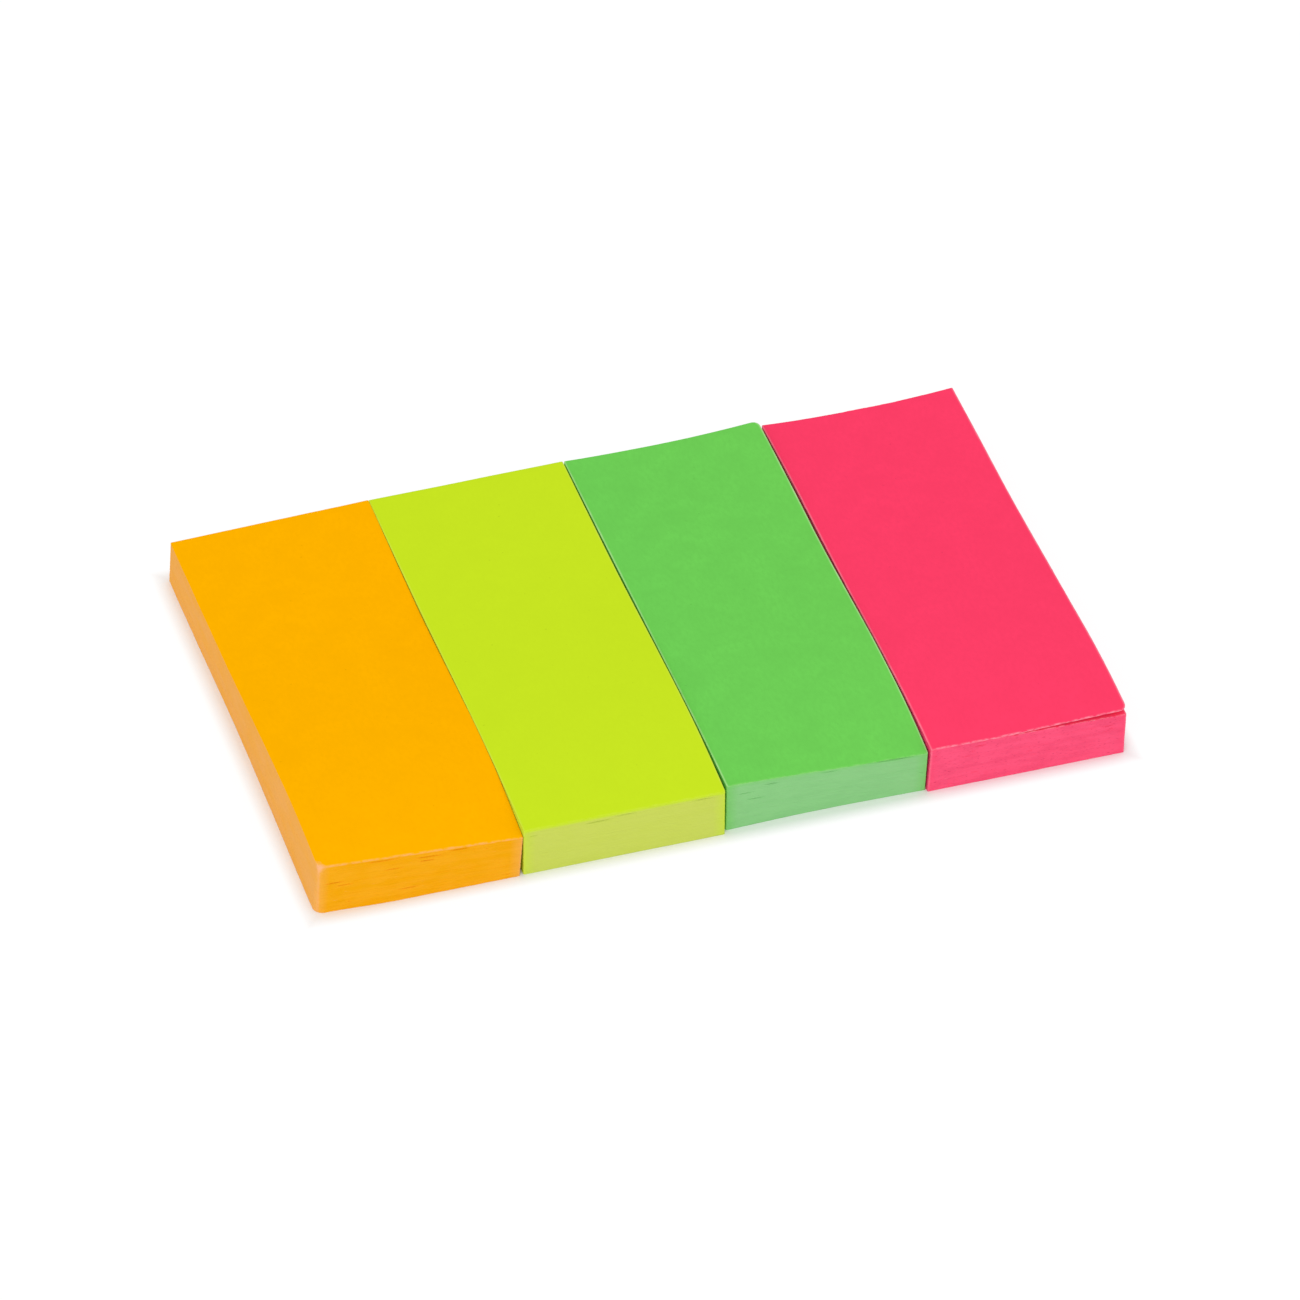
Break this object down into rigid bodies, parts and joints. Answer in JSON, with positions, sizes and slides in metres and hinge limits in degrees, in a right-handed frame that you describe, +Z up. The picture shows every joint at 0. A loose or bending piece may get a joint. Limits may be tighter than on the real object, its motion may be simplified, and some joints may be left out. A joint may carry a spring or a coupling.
{
  "type": "sticky index tabs",
  "caption": "Pads of small rectangular sticky paper tabs in bright colours, lying side by side in a row, for marking pages; one top sheet has lifted at a corner.",
  "frame": {"origin": "on the table, under the middle of the row of pads", "axes": "+X along the row from the orange pad to the pink pad, +Y along the tabs from the near end, where the sheets have lifted, to the far end, +Z up"},
  "size_m": [0.0808, 0.0502, 0.0066],
  "materials": {
    "orange_paper": "matt uncoated coloured paper",
    "lime_paper": "matt uncoated coloured paper",
    "green_paper": "matt uncoated coloured paper",
    "pink_paper": "matt uncoated coloured paper"
  },
  "bodies": {
    "root": {"orange_pad": "orange_paper", "lime_pad": "lime_paper", "green_pad": "green_paper", "pink_pad": "pink_paper", "pink_top_sheet": "pink_paper"}
  },
  "joints": []
}
